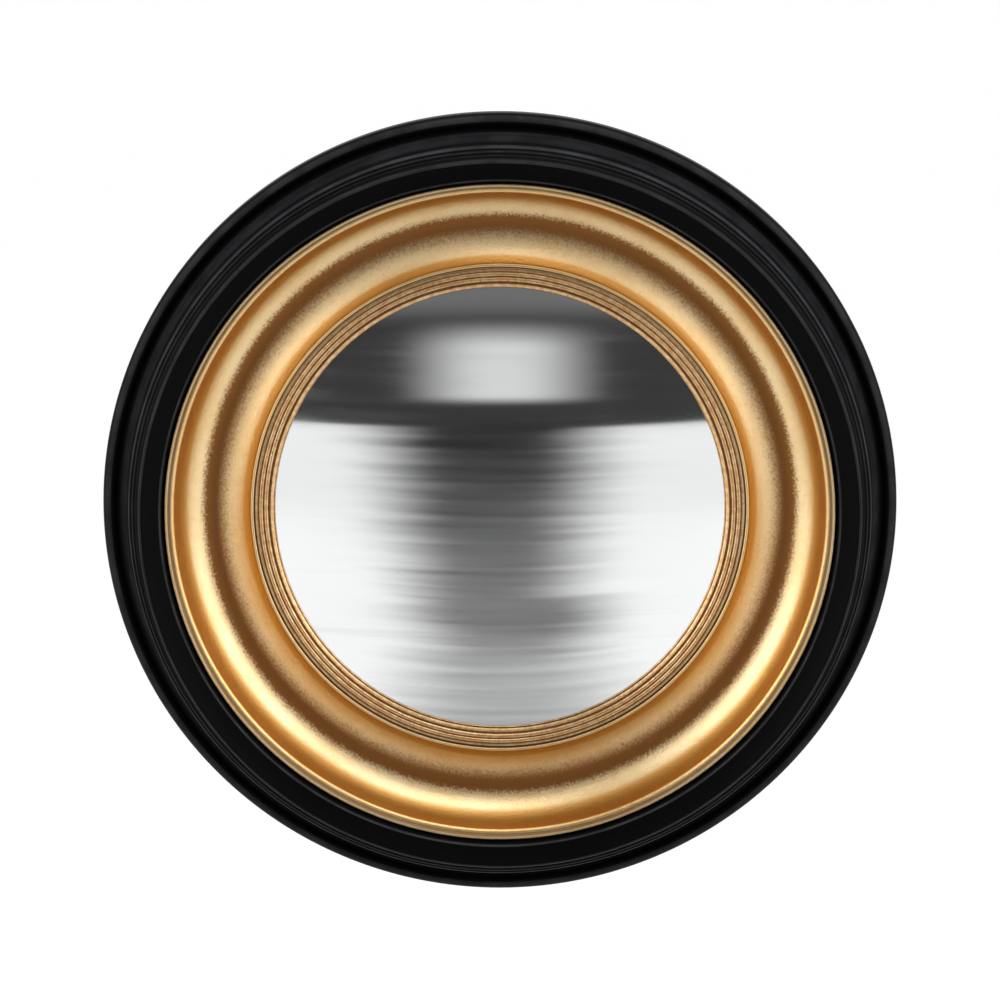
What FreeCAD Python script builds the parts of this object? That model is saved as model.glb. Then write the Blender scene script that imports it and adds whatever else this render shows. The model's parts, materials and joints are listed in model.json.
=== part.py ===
import FreeCAD, Part
import math
import os

# A round convex mirror in a turned, ebonised frame with a gilded scoop inside it.
# Millimetres. The mirror hangs upright: +Z is up, the glass looks along -Y, and the
# wall is the plane Y = 0 that the four bumpers touch. The origin lies on the wall,
# on the axis of the mirror. Turned pieces are drawn as outlines of (radius, height),
# where height is the distance in front of the wall, and revolved about the Y axis.

# ---- Depths, from the wall forwards ----
BUMPER_T = 4.0
FRAME_DEPTH = 36.0
SCOOP_FLOOR_T = 4.0
SCOOP_INNER_RISE = 7.4
SCOOP_OUTER_RISE = 19.7

# ---- Glass: a spherical cap that bulges towards the room ----
SIGHT_D = 216.2
GLASS_COVER = 4.9
GLASS_T = 3.0
GLASS_BALL_R = 450.0
GASKET_T = 0.5
GASKET_COVER = 1.1
SIGHT_EDGE_T = 1.0

# ---- Reeded slip round the glass, from the sight edge outwards ----
SIGHT_BAND_W = 1.5
SIGHT_BAND_RISE = 0.8
SLIP_QUIRK_W = 1.0
SLIP_QUIRK_DEEP = 0.9
SLIP_REED_W = 2.4
SLIP_REED_RISE = 0.85
SLIP_REED_COUNT = 2
SLIP_FILLET_W = 1.1
SLIP_SHOULDER_W = 0.8
SLIP_SHOULDER_DEEP = 1.4
SLIP_FLANGE_W = 1.9
SLIP_FLANGE_T = 3.6

# ---- Gilded scoop ring, from its inner lip outwards ----
LIP_W = 1.9
LIP_RISE = 1.0
LIP_T = 4.0
SCOOP_INNER_W = 16.0
SCOOP_OUTER_W = 19.1
GILT_BEAD_W = 2.6
GILT_BEAD_CLIMB = 2.9
GILT_BEAD_ROUND = 0.9
GILT_QUIRK_W = 0.5
GILT_QUIRK_DEEP = 0.7
GILT_FILLET_W = 1.6
GILT_FILLET_CLIMB = 1.4

# ---- Ebonised frame, from the gilding outwards ----
LEDGE_W = 10.0
LEDGE_T = 5.5
BLACK_QUIRK_W = 1.3
BLACK_QUIRK_DROP = 3.9
ARRIS_W = 0.9
ARRIS_DROP = 1.0
FLAT_W = 7.6
FLAT_DROP = 4.6
CREST_REED_W = 1.9
CREST_REED_DROP = 2.4
CAVETTO_W = 1.6
CAVETTO_DROP = 4.1
SMALL_REED_W = 1.75
SMALL_REED_DROP = 1.9
SMALL_REED_COUNT = 2
RISER_W = 3.7
SCOTIA_W = 4.41
SCOTIA_DEEP = 1.9
RIM_BEAD_R = 4.0
RIM_BEAD_TURN = 115.0
RIM_WALL = 6.2
EDGE_CHAMFER = 0.8

# ---- Packing, board and the four buttons that hold it ----
PACKING_W = 9.0
BOARD_T = 3.0
BOARD_OVERLAP = 4.5
BUTTON_COUNT = 4
BUTTON_FIRST_ANGLE = 45.0
BUTTON_PIVOT_OUT = 19.0
BUTTON_REACH = 22.0
BUTTON_HUB_R = 6.0
BUTTON_TIP_R = 3.5
BUTTON_T = 1.0
BUTTON_PIP_R = 1.3

# ---- Hanger at the top: a strap with a rolled eye, and a D-shaped ring ----
STRAP_T = 0.8
STRAP_HALF_W = 6.0
STRAP_FOOT_INSET = 1.0
STRAP_SCREW_PITCH = 9.5
STRAP_EYE_LENGTH = 8.0
RING_WIRE_R = 0.8
RING_HALF_W = 7.2
RING_CORNER_R = 1.8
RING_SIDE = 0.6

# ---- Screws and bumpers ----
FRAME_SCREW_COUNT = 8
FRAME_SCREW_FIRST_ANGLE = 22.5
FRAME_SCREW_LENGTH = 11.0
FRAME_SCREW_R = 1.75
FRAME_SCREW_HEAD_R = 3.4
FRAME_SCREW_HEAD_T = 2.2
SMALL_SCREW_R = 1.25
SMALL_SCREW_HEAD_R = 3.0
SMALL_SCREW_HEAD_T = 1.4
BUTTON_SCREW_BITE = 4.0
STRAP_SCREW_BITE = 9.0
SCREW_TIP_L = 1.6
SLOT_W = 0.8
SLOT_DEEP = 0.7
BUMPER_R = 8.0
BUMPER_TAPER = 0.8
BUMPER_ANGLES = (30.0, 150.0, 210.0, 330.0)

# ---- Named clearances ----
GLUE_GAP = 0.2
GLASS_GAP = 0.3
BOARD_GAP = 0.4
THREAD_GAP = 0.05
PIVOT_GAP = 0.06
EYE_GAP = 0.08
BUTTON_LIFT = 0.1
RING_TO_STRAP = 0.35
RING_TO_SCREW = 0.4

AXIS = FreeCAD.Vector(0, 1, 0)
ORIGIN = FreeCAD.Vector(0, 0, 0)

# ---- Radii that follow, from the glass outwards ----
sight_r = SIGHT_D / 2
glass_r = sight_r + GLASS_COVER
rebate_r = glass_r + GLASS_GAP
reeds_r = sight_r + SIGHT_BAND_W + SLIP_QUIRK_W + SLIP_REED_COUNT * SLIP_REED_W
shoulder_r = reeds_r + SLIP_FILLET_W + SLIP_SHOULDER_W
flange_r = shoulder_r + SLIP_FLANGE_W
lip_r = shoulder_r + GLUE_GAP
pocket_r = flange_r + GLUE_GAP
scoop_inner_r = lip_r + LIP_W
scoop_floor_r = scoop_inner_r + SCOOP_INNER_W
scoop_outer_r = scoop_floor_r + SCOOP_OUTER_W
gilt_bead_r = scoop_outer_r + GILT_BEAD_W
gilt_r = gilt_bead_r + GILT_QUIRK_W + GILT_FILLET_W
opening_r = gilt_r + GLUE_GAP
ledge_r = opening_r - LEDGE_W
arris_r = opening_r + BLACK_QUIRK_W
flat_r = arris_r + ARRIS_W
crest_r = flat_r + FLAT_W
cavetto_r = crest_r + CREST_REED_W
small_reed_r = cavetto_r + CAVETTO_W
riser_r = small_reed_r + SMALL_REED_COUNT * SMALL_REED_W
scotia_r = riser_r + RISER_W
rim_bead_r = scotia_r + SCOTIA_W - RIM_BEAD_R * math.cos(math.radians(RIM_BEAD_TURN))
rim_r = rim_bead_r + RIM_BEAD_R
board_r = pocket_r + BOARD_OVERLAP
board_seat_r = board_r + BOARD_GAP

# ---- Heights that follow, from the wall forwards ----
back = BUMPER_T
crest = back + FRAME_DEPTH
scoop_floor = back + SCOOP_FLOOR_T
scoop_inner = scoop_floor + SCOOP_INNER_RISE
scoop_outer = scoop_floor + SCOOP_OUTER_RISE
gilt_bead = scoop_outer + GILT_BEAD_CLIMB
gilt_top = gilt_bead + GILT_FILLET_CLIMB
board_front = back + BOARD_T
sight_edge = scoop_inner
lip_back = scoop_inner - LIP_T + LIP_RISE
slip_face = sight_edge + SIGHT_BAND_RISE
ledge_front = back + LEDGE_T
riser_top = crest - CREST_REED_DROP - CAVETTO_DROP - SMALL_REED_COUNT * SMALL_REED_DROP
rim_bead = back + RIM_WALL

# The ball that the glass is cut from: its centre lies behind the wall.
glass_at_sight = sight_edge - SIGHT_EDGE_T - GASKET_T
ball_centre = glass_at_sight - math.sqrt(GLASS_BALL_R ** 2 - sight_r ** 2)

# Places on the back, as distances from the mirror's axis.
button_pivot_r = board_seat_r + BUTTON_PIVOT_OUT
frame_screw_r = (ledge_r + opening_r) / 2
bumper_place_r = (opening_r + rim_r) / 2 + 1.0
strap_low_screw_z = ledge_r + STRAP_HALF_W - STRAP_FOOT_INSET
strap_high_screw_z = strap_low_screw_z + STRAP_SCREW_PITCH
ring_drop = RING_CORNER_R + RING_SIDE + RING_HALF_W
eye_z = strap_high_screw_z + SMALL_SCREW_HEAD_R + RING_TO_SCREW + RING_WIRE_R + ring_drop
eye_inner_r = RING_WIRE_R + EYE_GAP
eye_outer_r = eye_inner_r + STRAP_T
eye_height = back - STRAP_T - RING_TO_STRAP - RING_WIRE_R
button_back = back - BUTTON_LIFT - BUTTON_T


class Outline:
    """A closed outline of (radius, height) that is revolved about the mirror's axis."""

    def __init__(self, radius, height):
        self.start = self.point(radius, height)
        self.last = self.start
        self.edges = []

    @staticmethod
    def point(radius, height):
        """The place of a radius and a height in the plane of the outlines."""
        return FreeCAD.Vector(radius, -height, 0)

    def line(self, radius, height):
        """Go straight to the next point."""
        end = self.point(radius, height)
        self.edges.append(Part.LineSegment(self.last, end).toShape())
        self.last = end
        return self

    def curve(self, radius, height, bulge):
        """Go round an arc to the next point. Bulge is the height of the arc over its
        chord: above zero it swells to the right of the way along the outline."""
        end = self.point(radius, height)
        chord = end - self.last
        side = FreeCAD.Vector(-chord.y, chord.x, 0).normalize()
        middle = (self.last + end) * 0.5 + side * bulge
        self.edges.append(Part.Arc(self.last, middle, end).toShape())
        self.last = end
        return self

    def revolve(self, x=0.0, z=0.0):
        """Close the outline and turn it about the Y axis, moved to (x, z)."""
        if self.last.distanceToPoint(self.start) > 1e-6:
            self.edges.append(Part.LineSegment(self.last, self.start).toShape())
        solid = Part.Face(Part.Wire(self.edges)).revolve(ORIGIN, AXIS, 360)
        solid.translate(FreeCAD.Vector(x, 0, z))
        return solid


def ball_height(radius, ball_r):
    """Height of a sphere about the glass ball's centre, at a distance from the axis."""
    return ball_centre + math.sqrt(ball_r ** 2 - radius ** 2)


def ball_bulge(radius_a, radius_b, ball_r):
    """Height of such a sphere's arc over its chord between two radii."""
    chord = math.hypot(radius_b - radius_a, ball_height(radius_b, ball_r) - ball_height(radius_a, ball_r))
    return ball_r - math.sqrt(ball_r ** 2 - (chord / 2) ** 2)


def quarter_bulge(width, rise):
    """Height over its chord of an arc that starts level and leaves by a width and a rise."""
    arc_r = (width ** 2 + rise ** 2) / (2 * rise)
    chord = math.hypot(width, rise)
    return arc_r - math.sqrt(arc_r ** 2 - (chord / 2) ** 2)


def around(count, first_angle, radius):
    """Places (angle, x, z) spaced evenly on a circle of the back."""
    places = []
    for index in range(count):
        angle = first_angle + index * 360.0 / count
        turn = math.radians(angle)
        places.append((angle, radius * math.cos(turn), radius * math.sin(turn)))
    return places


# ---- Screws: heads towards the wall, points towards the room ----

def countersunk_screw(x, z, gap=0.0):
    """A slotted wood screw with its head flush in the back of the frame, or its hole."""
    shank_r = FRAME_SCREW_R + gap
    head_r = FRAME_SCREW_HEAD_R + gap
    tip = back + FRAME_SCREW_LENGTH + gap
    body = Outline(0, back).line(head_r, back).line(shank_r, back + FRAME_SCREW_HEAD_T)
    body.line(shank_r, tip - SCREW_TIP_L).line(0, tip)
    screw = body.revolve(x, z)
    return screw if gap else screw.cut(slot(x, z, back, FRAME_SCREW_HEAD_R))


def pan_screw(x, z, seat, bite):
    """A slotted screw with a domed head that sits on a plate at the height seat."""
    top = seat - SMALL_SCREW_HEAD_T
    body = Outline(0, top).curve(SMALL_SCREW_HEAD_R, seat, SMALL_SCREW_HEAD_T * 0.35)
    body.line(SMALL_SCREW_R, seat).line(SMALL_SCREW_R, back + bite - SCREW_TIP_L).line(0, back + bite)
    return body.revolve(x, z).cut(slot(x, z, top, SMALL_SCREW_HEAD_R))


def pan_screw_hole(x, z, bite):
    """The hole that a pan screw's shank cuts in the wood."""
    shank_r = SMALL_SCREW_R + THREAD_GAP
    tip = back + bite + THREAD_GAP
    hole = Outline(0, 0).line(shank_r, 0).line(shank_r, tip - SCREW_TIP_L).line(0, tip)
    return hole.revolve(x, z)


def slot(x, z, top, head_r):
    """The driver slot of a screw head whose outermost height is top."""
    length = 2 * head_r + 1.0
    cutter = Part.makeBox(length, SLOT_DEEP + 1.0, SLOT_W)
    cutter.translate(FreeCAD.Vector(x - length / 2, -(top + SLOT_DEEP), z - SLOT_W / 2))
    return cutter


def strap_screw_places():
    """Heights Z of the hanger's two screws on the mirror's upright centre line."""
    return (strap_low_screw_z, strap_high_screw_z)


def frame_screws():
    """The screws that draw the gilded ring down onto the frame's ledge."""
    places = around(FRAME_SCREW_COUNT, FRAME_SCREW_FIRST_ANGLE, frame_screw_r)
    return Part.makeCompound([countersunk_screw(x, z) for _, x, z in places])


def button_screws():
    """The screws that the turn buttons swivel on."""
    places = around(BUTTON_COUNT, BUTTON_FIRST_ANGLE, button_pivot_r)
    return Part.makeCompound([pan_screw(x, z, button_back, BUTTON_SCREW_BITE) for _, x, z in places])


def hanger_screws():
    """The two screws that hold the hanger's strap."""
    seat = back - STRAP_T
    return Part.makeCompound([pan_screw(0, z, seat, STRAP_SCREW_BITE) for z in strap_screw_places()])


def back_holes():
    """All screw holes in the back, to cut from whatever wood they run into."""
    holes = []
    for _, x, z in around(FRAME_SCREW_COUNT, FRAME_SCREW_FIRST_ANGLE, frame_screw_r):
        holes.append(countersunk_screw(x, z, THREAD_GAP))
    for _, x, z in around(BUTTON_COUNT, BUTTON_FIRST_ANGLE, button_pivot_r):
        holes.append(pan_screw_hole(x, z, BUTTON_SCREW_BITE))
    for z in strap_screw_places():
        holes.append(pan_screw_hole(0, z, STRAP_SCREW_BITE))
    return holes


# ---- Turned rings ----

def outer_frame():
    """The ebonised ring: rim bead, scotia and riser, stepped reeds, crest and flat."""
    turn = math.radians(RIM_BEAD_TURN)
    bead_end_r = rim_bead_r + RIM_BEAD_R * math.cos(turn)
    bead_end = rim_bead + RIM_BEAD_R * math.sin(turn)
    ring = Outline(ledge_r, back)
    ring.line(rim_r - EDGE_CHAMFER, back)
    ring.line(rim_r, back + EDGE_CHAMFER)
    ring.line(rim_r, rim_bead)
    ring.curve(bead_end_r, bead_end, RIM_BEAD_R * (1 - math.cos(turn / 2)))
    ring.curve(scotia_r, bead_end + SCOTIA_DEEP, -SCOTIA_DEEP)
    ring.curve(riser_r, riser_top, -RISER_W / 10)
    radius, height = riser_r, riser_top
    for _ in range(SMALL_REED_COUNT):
        radius -= SMALL_REED_W
        height += SMALL_REED_DROP
        ring.curve(radius, height, SMALL_REED_W * 0.42)
    ring.curve(cavetto_r, crest - CREST_REED_DROP, -CAVETTO_W * 0.45)
    ring.curve(crest_r, crest, CREST_REED_W * 0.38)
    ring.line(flat_r, crest - FLAT_DROP)
    ring.curve(arris_r, crest - FLAT_DROP - ARRIS_DROP, ARRIS_W * 0.3)
    ring.line(opening_r, crest - FLAT_DROP - ARRIS_DROP - BLACK_QUIRK_DROP)
    ring.line(opening_r, ledge_front)
    ring.line(ledge_r, ledge_front)
    return ring.revolve().cut(back_holes())


def gilt_scoop():
    """The gilded ring: fillet and bead outside, a deep scoop, and a rounded inner lip."""
    ring = Outline(board_seat_r, back)
    ring.line(ledge_r - GLUE_GAP, back)
    ring.line(ledge_r - GLUE_GAP, ledge_front)
    ring.line(gilt_r, ledge_front)
    ring.line(gilt_r, gilt_top)
    ring.line(gilt_bead_r + GILT_QUIRK_W, gilt_top)
    ring.line(gilt_bead_r, gilt_top - GILT_FILLET_CLIMB - GILT_QUIRK_DEEP)
    ring.curve(scoop_outer_r, scoop_outer, GILT_BEAD_ROUND)
    ring.curve(scoop_floor_r, scoop_floor, -quarter_bulge(SCOOP_OUTER_W, SCOOP_OUTER_RISE))
    ring.curve(scoop_inner_r, scoop_inner, -quarter_bulge(SCOOP_INNER_W, SCOOP_INNER_RISE))
    ring.curve(lip_r, scoop_inner, LIP_RISE)
    ring.line(lip_r, lip_back)
    ring.line(pocket_r, lip_back)
    ring.line(pocket_r, board_front)
    ring.line(board_seat_r, board_front)
    return ring.revolve().cut(back_holes())


def reeded_slip():
    """The gilded slip: a plain band at the glass, two reeds and a fillet, on a flange."""
    flange_front = lip_back
    flange_back = flange_front - SLIP_FLANGE_T
    seat_ball_r = GLASS_BALL_R + GASKET_T
    slip = Outline(rebate_r, flange_back)
    slip.line(flange_r, flange_back)
    slip.line(flange_r, flange_front)
    slip.line(shoulder_r, flange_front)
    slip.line(shoulder_r, slip_face - SLIP_SHOULDER_DEEP)
    slip.line(reeds_r + SLIP_FILLET_W, slip_face - SLIP_SHOULDER_DEEP)
    slip.line(reeds_r + SLIP_FILLET_W, slip_face)
    slip.line(reeds_r, slip_face)
    radius = reeds_r
    reed_foot = slip_face - SLIP_REED_RISE / 2
    slip.line(radius, reed_foot)
    for _ in range(SLIP_REED_COUNT):
        radius -= SLIP_REED_W
        slip.curve(radius, reed_foot, SLIP_REED_RISE)
    quirk_floor = slip_face - SLIP_QUIRK_DEEP
    band_r = sight_r + SIGHT_BAND_W
    slip.line(radius - SLIP_QUIRK_W * 0.3, quirk_floor)
    slip.line(band_r + SLIP_QUIRK_W * 0.3, quirk_floor)
    slip.line(band_r, slip_face)
    slip.line(sight_r, sight_edge)
    slip.line(sight_r, ball_height(sight_r, seat_ball_r))
    slip.curve(rebate_r, ball_height(rebate_r, seat_ball_r), -ball_bulge(sight_r, rebate_r, seat_ball_r))
    return slip.revolve()


def glass_gasket():
    """The felt ring between the glass and the slip, kept out of sight behind its edge."""
    inner = sight_r + GASKET_COVER
    outer_ball_r = GLASS_BALL_R + GASKET_T
    felt = Outline(inner, ball_height(inner, GLASS_BALL_R))
    felt.curve(glass_r, ball_height(glass_r, GLASS_BALL_R), -ball_bulge(inner, glass_r, GLASS_BALL_R))
    felt.line(glass_r, ball_height(glass_r, outer_ball_r))
    felt.curve(inner, ball_height(inner, outer_ball_r), ball_bulge(inner, glass_r, outer_ball_r))
    return felt.revolve()


def mirror_glass():
    """The silvered glass: a cap of even thickness between two spheres of one centre."""
    back_ball_r = GLASS_BALL_R - GLASS_T
    cap = Outline(0, ball_height(0, back_ball_r))
    cap.curve(glass_r, ball_height(glass_r, back_ball_r), -ball_bulge(0, glass_r, back_ball_r))
    cap.line(glass_r, ball_height(glass_r, GLASS_BALL_R))
    cap.curve(0, ball_height(0, GLASS_BALL_R), ball_bulge(0, glass_r, GLASS_BALL_R))
    return cap.revolve()


def packing_ring():
    """The softwood ring that the board presses against the back of the glass."""
    back_ball_r = GLASS_BALL_R - GLASS_T
    inner = glass_r - PACKING_W
    ring = Outline(inner, board_front).line(glass_r, board_front)
    ring.line(glass_r, ball_height(glass_r, back_ball_r))
    ring.line(inner, ball_height(inner, back_ball_r))
    return ring.revolve()


def backboard():
    """The hardboard disc that closes the back, flush with the frame."""
    disc = Outline(0, back).line(board_r, back).line(board_r, board_front).line(0, board_front)
    return disc.revolve()


# ---- Turn buttons, hanger and bumpers ----

def turn_button(angle, x, z):
    """A drop-shaped plate on its screw, pointing inwards over the board."""
    spread = math.acos((BUTTON_HUB_R - BUTTON_TIP_R) / BUTTON_REACH)

    def edge_point(centre, radius, turn):
        return FreeCAD.Vector(centre + radius * math.cos(turn), 0, radius * math.sin(turn))

    hub_up, hub_down = (edge_point(0, BUTTON_HUB_R, turn) for turn in (spread, -spread))
    tip_up, tip_down = (edge_point(BUTTON_REACH, BUTTON_TIP_R, turn) for turn in (spread, -spread))
    edges = [
        Part.LineSegment(hub_up, tip_up).toShape(),
        Part.Arc(tip_up, edge_point(BUTTON_REACH, BUTTON_TIP_R, 0), tip_down).toShape(),
        Part.LineSegment(tip_down, hub_down).toShape(),
        Part.Arc(hub_down, edge_point(0, BUTTON_HUB_R, math.pi), hub_up).toShape(),
    ]
    plate = Part.Face(Part.Wire(edges)).extrude(FreeCAD.Vector(0, BUTTON_T, 0))
    hole_r = SMALL_SCREW_R + PIVOT_GAP
    hole = Part.makeCylinder(hole_r, 3 * BUTTON_T, FreeCAD.Vector(0, -BUTTON_T, 0), AXIS)
    pip_place = FreeCAD.Vector(BUTTON_REACH, BUTTON_T, 0)
    pip = Part.makeSphere(BUTTON_PIP_R, pip_place, AXIS, 0, 90, 360)
    button = plate.fuse(pip).cut(hole).removeSplitter()
    button.rotate(ORIGIN, AXIS, 180 - angle)
    button.translate(FreeCAD.Vector(x, -(button_back + BUTTON_T), z))
    return button


def hanger_strap():
    """The steel strap: a round foot, two screw holes and an eye rolled at its top."""
    front = -back
    low = strap_low_screw_z
    neck = STRAP_EYE_LENGTH / 2
    shoulder = strap_high_screw_z + SMALL_SCREW_HEAD_R
    corners = [(STRAP_HALF_W, low), (STRAP_HALF_W, shoulder), (neck, eye_z - eye_outer_r), (neck, eye_z)]
    right = [FreeCAD.Vector(x, front, z) for x, z in corners]
    left = [FreeCAD.Vector(-x, front, z) for x, z in reversed(corners)]
    upper = Part.makePolygon(right + left).Edges
    foot = Part.Arc(left[-1], FreeCAD.Vector(0, front, low - STRAP_HALF_W), right[0]).toShape()
    plate = Part.Face(Part.Wire(upper + [foot])).extrude(FreeCAD.Vector(0, STRAP_T, 0))
    eye_start = FreeCAD.Vector(-neck, -eye_height, eye_z)
    along = FreeCAD.Vector(1, 0, 0)
    eye = Part.makeCylinder(eye_outer_r, STRAP_EYE_LENGTH, eye_start, along)
    bore = Part.makeCylinder(eye_inner_r, STRAP_EYE_LENGTH, eye_start, along)
    strap = plate.fuse(eye).cut(bore)
    for z in strap_screw_places():
        hole_start = FreeCAD.Vector(0, front - STRAP_T, z)
        hole = Part.makeCylinder(SMALL_SCREW_R + THREAD_GAP, 3 * STRAP_T, hole_start, AXIS)
        strap = strap.cut(hole)
    return strap.removeSplitter()


def hanger_ring():
    """The D-shaped wire ring, hanging down from its eye as it does off the hook."""
    def at(x, down):
        return FreeCAD.Vector(x, -eye_height, eye_z - down)

    bar = RING_HALF_W - RING_CORNER_R
    diagonal = RING_CORNER_R * (1 - math.sqrt(0.5))
    side_top = RING_CORNER_R + RING_SIDE
    path = [
        Part.LineSegment(at(-bar, 0), at(bar, 0)),
        Part.Arc(at(bar, 0), at(RING_HALF_W - diagonal, diagonal), at(RING_HALF_W, RING_CORNER_R)),
        Part.LineSegment(at(RING_HALF_W, RING_CORNER_R), at(RING_HALF_W, side_top)),
        Part.Arc(at(RING_HALF_W, side_top), at(0, side_top + RING_HALF_W), at(-RING_HALF_W, side_top)),
        Part.LineSegment(at(-RING_HALF_W, side_top), at(-RING_HALF_W, RING_CORNER_R)),
        Part.Arc(at(-RING_HALF_W, RING_CORNER_R), at(-RING_HALF_W + diagonal, diagonal), at(-bar, 0)),
    ]
    wire = Part.Wire([piece.toShape() for piece in path])
    section = Part.Wire(Part.makeCircle(RING_WIRE_R, at(-bar, 0), FreeCAD.Vector(1, 0, 0)))
    return wire.makePipeShell([section], True, False)


def wall_bumper(x, z):
    """A self-adhesive rubber disc, flat at the wall and a little wider at the frame."""
    disc = Outline(0, 0).line(BUMPER_R - BUMPER_TAPER, 0)
    disc.curve(BUMPER_R, BUMPER_TAPER, BUMPER_TAPER * 0.2).line(BUMPER_R, back).line(0, back)
    return disc.revolve(x, z)


def numbered(stem, shapes):
    """Name repeated pieces with a number each."""
    return {f"{stem}_{index}": shape for index, shape in enumerate(shapes, start=1)}


def build():
    """Every piece by the name of its node."""
    pieces = {
        "outer_frame": outer_frame(),
        "gilt_scoop": gilt_scoop(),
        "reeded_slip": reeded_slip(),
        "glass_gasket": glass_gasket(),
        "mirror_glass": mirror_glass(),
        "packing_ring": packing_ring(),
        "backboard": backboard(),
        "frame_screws": frame_screws(),
        "button_screws": button_screws(),
        "hanger_strap": hanger_strap(),
        "hanger_screws": hanger_screws(),
        "hanger_ring": hanger_ring(),
    }
    buttons = around(BUTTON_COUNT, BUTTON_FIRST_ANGLE, button_pivot_r)
    pieces.update(numbered("turn_button", [turn_button(*place) for place in buttons]))
    turns = [math.radians(angle) for angle in BUMPER_ANGLES]
    places = [(bumper_place_r * math.cos(turn), bumper_place_r * math.sin(turn)) for turn in turns]
    pieces.update(numbered("wall_bumper", [wall_bumper(x, z) for x, z in places]))
    return pieces


os.makedirs("parts", exist_ok=True)
for name, shape in build().items():
    shape.exportStep(f"parts/{name}.step")
print(f"outside diameter {2 * rim_r:.1f} mm, depth {crest:.1f} mm")
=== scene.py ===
"""Dresses a round convex mirror: ebonised frame, gilded scoop and slip, silvered glass.

The mirror hangs upright, with its glass looking along -Y and its back in the plane
Y = 0. Sizes of the turned rings are in millimetres, as a turner would write them: a
radius from the mirror's axis and a height in front of the wall. Meshes are in metres.
"""
from __future__ import annotations

import json
import logging
import math
from dataclasses import dataclass, field
from enum import Enum
from typing import Any, Callable, Sequence

import bpy
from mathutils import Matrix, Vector

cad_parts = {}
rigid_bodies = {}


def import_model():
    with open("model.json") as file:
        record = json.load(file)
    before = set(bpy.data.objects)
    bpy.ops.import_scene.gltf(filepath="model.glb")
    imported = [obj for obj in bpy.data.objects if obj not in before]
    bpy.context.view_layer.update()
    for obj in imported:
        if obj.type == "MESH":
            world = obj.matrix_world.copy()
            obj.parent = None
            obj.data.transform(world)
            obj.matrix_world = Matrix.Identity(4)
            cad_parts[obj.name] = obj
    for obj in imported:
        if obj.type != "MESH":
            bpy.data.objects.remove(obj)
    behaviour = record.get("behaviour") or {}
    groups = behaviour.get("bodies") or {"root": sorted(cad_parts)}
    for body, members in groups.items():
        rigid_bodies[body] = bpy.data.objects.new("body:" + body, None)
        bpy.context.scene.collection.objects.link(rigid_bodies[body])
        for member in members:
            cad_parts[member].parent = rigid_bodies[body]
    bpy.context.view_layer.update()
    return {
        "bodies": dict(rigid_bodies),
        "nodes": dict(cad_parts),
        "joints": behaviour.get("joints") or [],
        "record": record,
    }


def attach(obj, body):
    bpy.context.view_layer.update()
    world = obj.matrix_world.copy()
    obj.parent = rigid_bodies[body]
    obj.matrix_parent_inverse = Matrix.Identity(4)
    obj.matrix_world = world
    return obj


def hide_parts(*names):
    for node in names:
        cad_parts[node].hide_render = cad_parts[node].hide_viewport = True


MM = 0.001
TURNS = 288
SMOOTH_ANGLE = 32.0
SHARP_ANGLE = 35.0
MERGE = 2e-6
LOG = logging.getLogger("mirror")


class Body(Enum):
    """The bodies that pieces ride on."""

    MIRROR = "mirror"
    HANGER_RING = "hanger_ring"


# ---------------------------------------------------------------- modelling helpers


def select_only(piece: bpy.types.Object | None) -> None:
    """Leaves one piece selected and active, or none.

    Args:
        piece: The object to select, or None to deselect all.
    """
    if bpy.context.object and bpy.context.object.mode != "OBJECT":
        bpy.ops.object.mode_set(mode="OBJECT")
    bpy.ops.object.select_all(action="DESELECT")
    if piece is not None:
        piece.select_set(True)
        bpy.context.view_layer.objects.active = piece


def settle(piece: bpy.types.Object, smooth_angle: float) -> None:
    """Puts the piece's place into its mesh and smooths all but its sharp edges.

    Args:
        piece: The finished object.
        smooth_angle: Edges that turn by less than this many degrees are smoothed.
    """
    select_only(piece)
    bpy.ops.object.transform_apply(location=True, rotation=True, scale=True)
    bpy.ops.object.shade_smooth_by_angle(angle=math.radians(smooth_angle))


def softened(piece: bpy.types.Object, width: float) -> None:
    """Rounds the sharp edges of a piece a little, with two faces across.

    Args:
        piece: The object to bevel.
        width: Width of the rounding in metres.
    """
    select_only(piece)
    bevel = piece.modifiers.new("edge", "BEVEL")
    bevel.width = width
    bevel.segments = 2
    bevel.limit_method = "ANGLE"
    bevel.angle_limit = math.radians(SHARP_ANGLE)
    bpy.ops.object.modifier_apply(modifier=bevel.name)


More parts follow.
